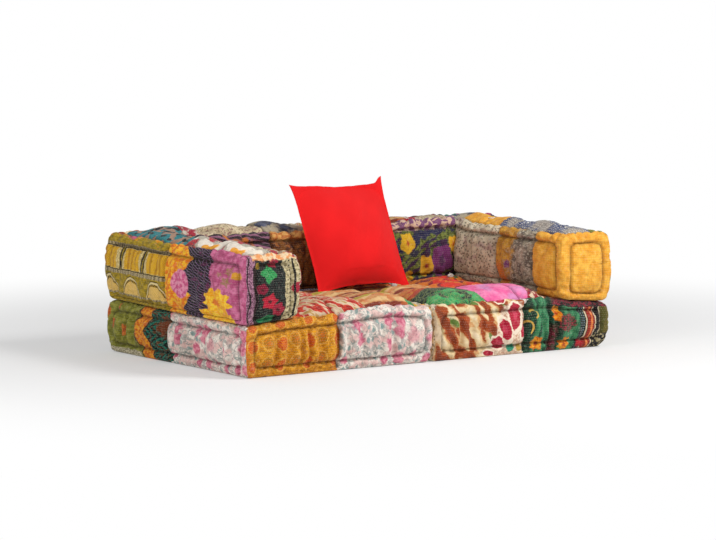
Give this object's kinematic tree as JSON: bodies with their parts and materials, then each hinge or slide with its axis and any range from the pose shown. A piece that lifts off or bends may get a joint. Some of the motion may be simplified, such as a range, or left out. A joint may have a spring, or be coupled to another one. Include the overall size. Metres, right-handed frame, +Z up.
{
  "type": "modular pouf sofa",
  "caption": "Low floor sofa of quilted patchwork mattresses with L-shaped corner bolsters as arms and back, and a loose square throw pillow.",
  "frame": {"origin": "on the floor, under the middle of the sofa", "axes": "+X along the sofa towards the right arm as seen from the front, +Y from the front to the back, +Z up"},
  "size_m": [1.7284, 1.0287, 0.6351],
  "materials": {
    "left_seat_patchwork": "quilted cotton patchwork, mustard, off-white with roses, olive and teal",
    "right_seat_patchwork": "quilted cotton patchwork, cream and rust strokes, dark green stripes, pink and saffron",
    "left_bolster_patchwork": "quilted cotton patchwork, mauve, black, pink, yellow and golden bands",
    "right_bolster_patchwork": "quilted cotton patchwork, saffron, orange, dark blue and grey",
    "cotton_filling": "packed raw cotton in a plain inner sheet",
    "tuft_twine": "white waxed cotton twine with a tied knot",
    "pillow_red": "plain smooth bright red cotton",
    "pillow_pad": "plain white pad"
  },
  "bodies": {
    "left_seat": {"left_seat_cover": "left_seat_patchwork", "left_seat_filling": "cotton_filling", "left_seat_ties": "tuft_twine"},
    "right_seat": {"right_seat_cover": "right_seat_patchwork", "right_seat_filling": "cotton_filling", "right_seat_ties": "tuft_twine"},
    "left_bolster": {"left_bolster_cover": "left_bolster_patchwork", "left_bolster_filling": "cotton_filling", "left_bolster_ties": "tuft_twine"},
    "right_bolster": {"right_bolster_cover": "right_bolster_patchwork", "right_bolster_filling": "cotton_filling", "right_bolster_ties": "tuft_twine"},
    "pillow": {"pillow_cover": "pillow_red", "pillow_insert": "pillow_pad"}
  },
  "joints": [
    {"name": "right_seat_slide", "type": "slide", "parent": "left_seat", "child": "right_seat", "axis": [1, 0, 0], "range_m": [0, 0.3]},
    {"name": "left_bolster_slide", "type": "slide", "parent": "left_seat", "child": "left_bolster", "axis": [-1, 0, 0], "range_m": [0, 0.2]},
    {"name": "right_bolster_slide", "type": "slide", "parent": "right_seat", "child": "right_bolster", "axis": [1, 0, 0], "range_m": [0, 0.2]},
    {"name": "pillow_lift", "type": "slide", "parent": "right_seat", "child": "pillow", "axis": [0, 0, 1], "range_m": [0, 0.2]}
  ]
}
